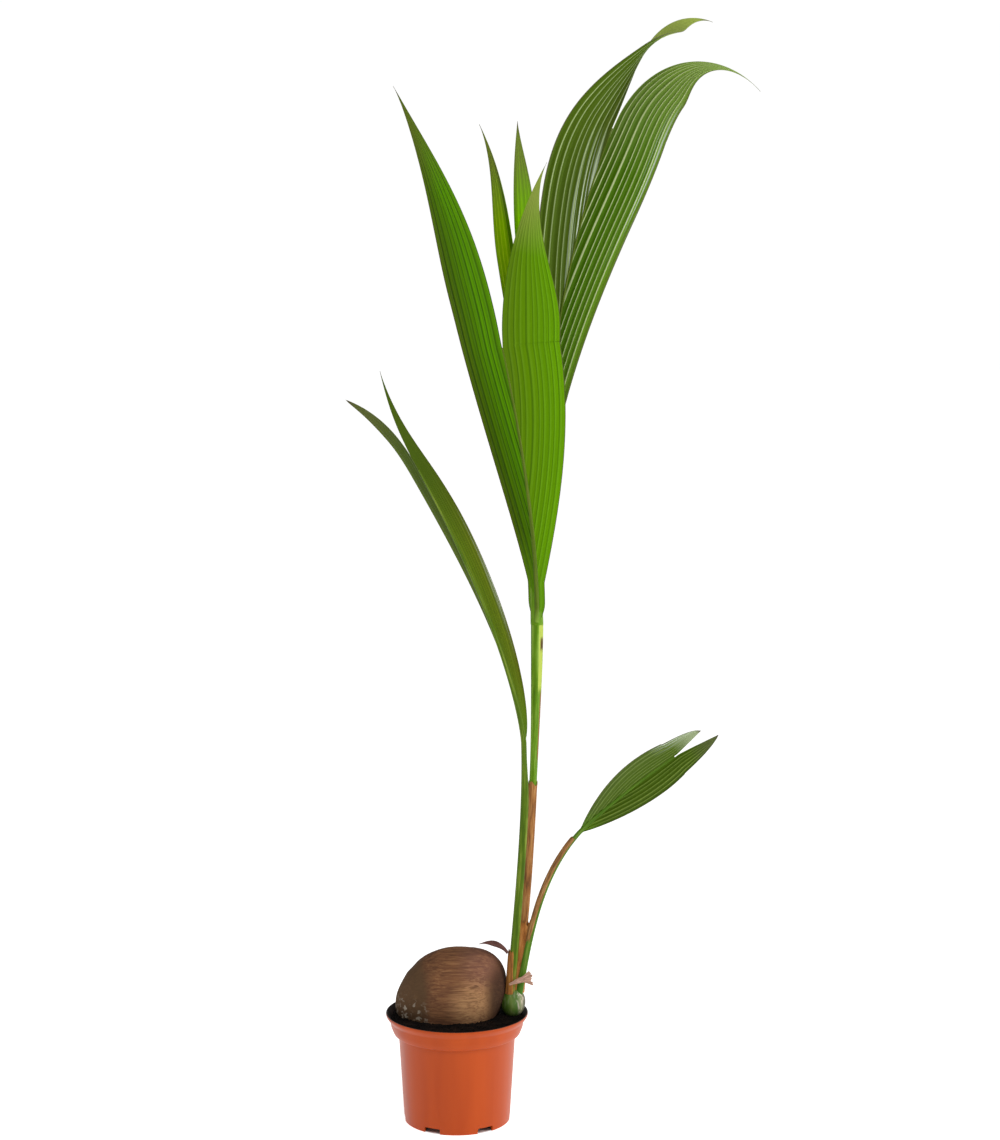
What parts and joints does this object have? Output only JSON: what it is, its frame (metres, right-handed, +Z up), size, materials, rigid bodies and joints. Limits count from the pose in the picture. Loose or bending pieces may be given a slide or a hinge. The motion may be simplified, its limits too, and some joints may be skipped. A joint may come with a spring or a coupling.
{
  "type": "potted coconut palm seedling",
  "caption": "Young coconut palm sprouting from a husked nut, with split feather leaves, standing in a terracotta-coloured nursery pot.",
  "frame": {"origin": "centre of the flat underside of the pot", "axes": "+Z up along the pot's axis; the picture's view looks along +Y, with +X to its right, where the shoot stands"},
  "size_m": [0.5531, 0.2655, 1.4725],
  "materials": {
    "pot_plastic": "satin polypropylene",
    "compost": "rough, crumbly",
    "husk_fibre": "dry fibre",
    "shoot_base": "smooth plant skin",
    "stalk_green": "smooth plant skin",
    "leaf_green": "waxy leaf",
    "sheath_fibre": "dry fibre",
    "dry_bract": "dry papery scale"
  },
  "bodies": {
    "root": {"pot": "pot_plastic", "soil": "compost", "husk": "husk_fibre", "shoot_base": "shoot_base", "stem": "stalk_green", "stem_sheath": "sheath_fibre", "petiole_a": "stalk_green", "petiole_e": "stalk_green", "petiole_e_sheath": "sheath_fibre", "rib_b": "stalk_green", "rib_c": "stalk_green", "rib_d": "stalk_green", "leaf_a_left": "leaf_green", "leaf_a_left_lobe": "leaf_green", "leaf_a_right": "leaf_green", "leaf_a_right_lobe": "leaf_green", "leaf_b_left": "leaf_green", "leaf_b_left_lobe": "leaf_green", "leaf_b_right": "leaf_green", "leaf_b_right_lobe": "leaf_green", "leaf_c_left": "leaf_green", "leaf_c_left_lobe": "leaf_green", "leaf_c_left_tip": "leaf_green", "leaf_c_right": "leaf_green", "leaf_c_right_lobe": "leaf_green", "leaf_c_right_tip": "leaf_green", "leaf_d_left": "leaf_green", "leaf_d_right": "leaf_green", "leaf_e_left": "leaf_green", "leaf_e_right": "leaf_green", "curled_bract": "dry_bract", "paper_bract": "dry_bract"}
  },
  "joints": []
}
